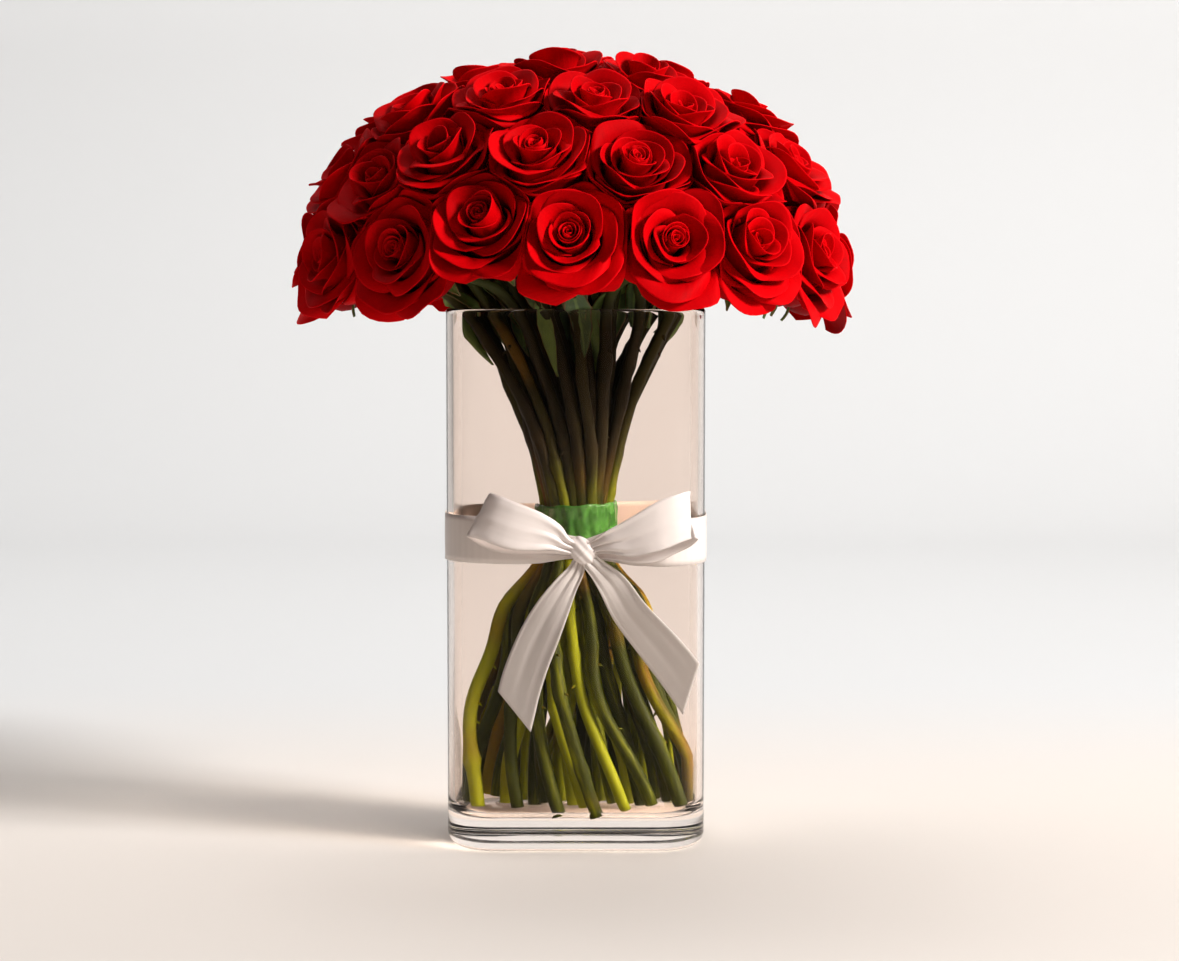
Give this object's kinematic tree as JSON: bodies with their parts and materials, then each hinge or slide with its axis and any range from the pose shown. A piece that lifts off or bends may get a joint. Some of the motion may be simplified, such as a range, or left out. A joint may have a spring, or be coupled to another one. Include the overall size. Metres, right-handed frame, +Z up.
{
  "type": "roses in a vase",
  "caption": "Round bouquet of full red roses, tied in a spiral with green tape, standing in a tall clear glass vase with rounded corners and a white satin bow.",
  "frame": {"origin": "centre of the vase's flat underside, on the surface it stands on", "axes": "+Z up, -Y towards the front with the bow, +X to the right seen from the front"},
  "size_m": [0.3306, 0.2991, 0.4626],
  "materials": {
    "clear_glass": "clear and polished",
    "rose_petal": "velvety petal, deep red",
    "rose_stem": "fresh green to brown rind, satin",
    "binding_tape": "glossy green tape",
    "satin_ribbon": "warm white satin"
  },
  "bodies": {
    "root": {"vase": "clear_glass", "rose_bloom_01": "rose_petal", "rose_bloom_02": "rose_petal", "rose_bloom_03": "rose_petal", "rose_bloom_04": "rose_petal", "rose_bloom_05": "rose_petal", "rose_bloom_06": "rose_petal", "rose_bloom_07": "rose_petal", "rose_bloom_08": "rose_petal", "rose_bloom_09": "rose_petal", "rose_bloom_10": "rose_petal", "rose_bloom_11": "rose_petal", "rose_bloom_12": "rose_petal", "rose_bloom_13": "rose_petal", "rose_bloom_14": "rose_petal", "rose_bloom_15": "rose_petal", "rose_bloom_16": "rose_petal", "rose_bloom_17": "rose_petal", "rose_bloom_18": "rose_petal", "rose_bloom_19": "rose_petal", "rose_bloom_20": "rose_petal", "rose_bloom_21": "rose_petal", "rose_bloom_22": "rose_petal", "rose_bloom_23": "rose_petal", "rose_bloom_24": "rose_petal", "rose_bloom_25": "rose_petal", "rose_bloom_26": "rose_petal", "rose_bloom_27": "rose_petal", "rose_bloom_28": "rose_petal", "rose_bloom_29": "rose_petal", "rose_bloom_30": "rose_petal", "rose_bloom_31": "rose_petal", "rose_bloom_32": "rose_petal", "rose_bloom_33": "rose_petal", "rose_bloom_34": "rose_petal", "rose_bloom_35": "rose_petal", "rose_bloom_36": "rose_petal", "rose_bloom_37": "rose_petal", "rose_bloom_38": "rose_petal", "rose_bloom_39": "rose_petal", "rose_bloom_40": "rose_petal", "rose_bloom_41": "rose_petal", "rose_bloom_42": "rose_petal", "rose_bloom_43": "rose_petal", "rose_bloom_44": "rose_petal", "stems_row_1": "rose_stem", "stems_row_2": "rose_stem", "stems_row_3": "rose_stem", "stems_row_4": "rose_stem", "stems_row_5": "rose_stem", "stems_row_6": "rose_stem", "stems_row_7": "rose_stem", "binding_tape": "binding_tape", "ribbon_band": "satin_ribbon", "bow_knot": "satin_ribbon", "bow_loop_left": "satin_ribbon", "bow_loop_right": "satin_ribbon", "bow_tail_left": "satin_ribbon", "bow_tail_right": "satin_ribbon"}
  },
  "joints": []
}
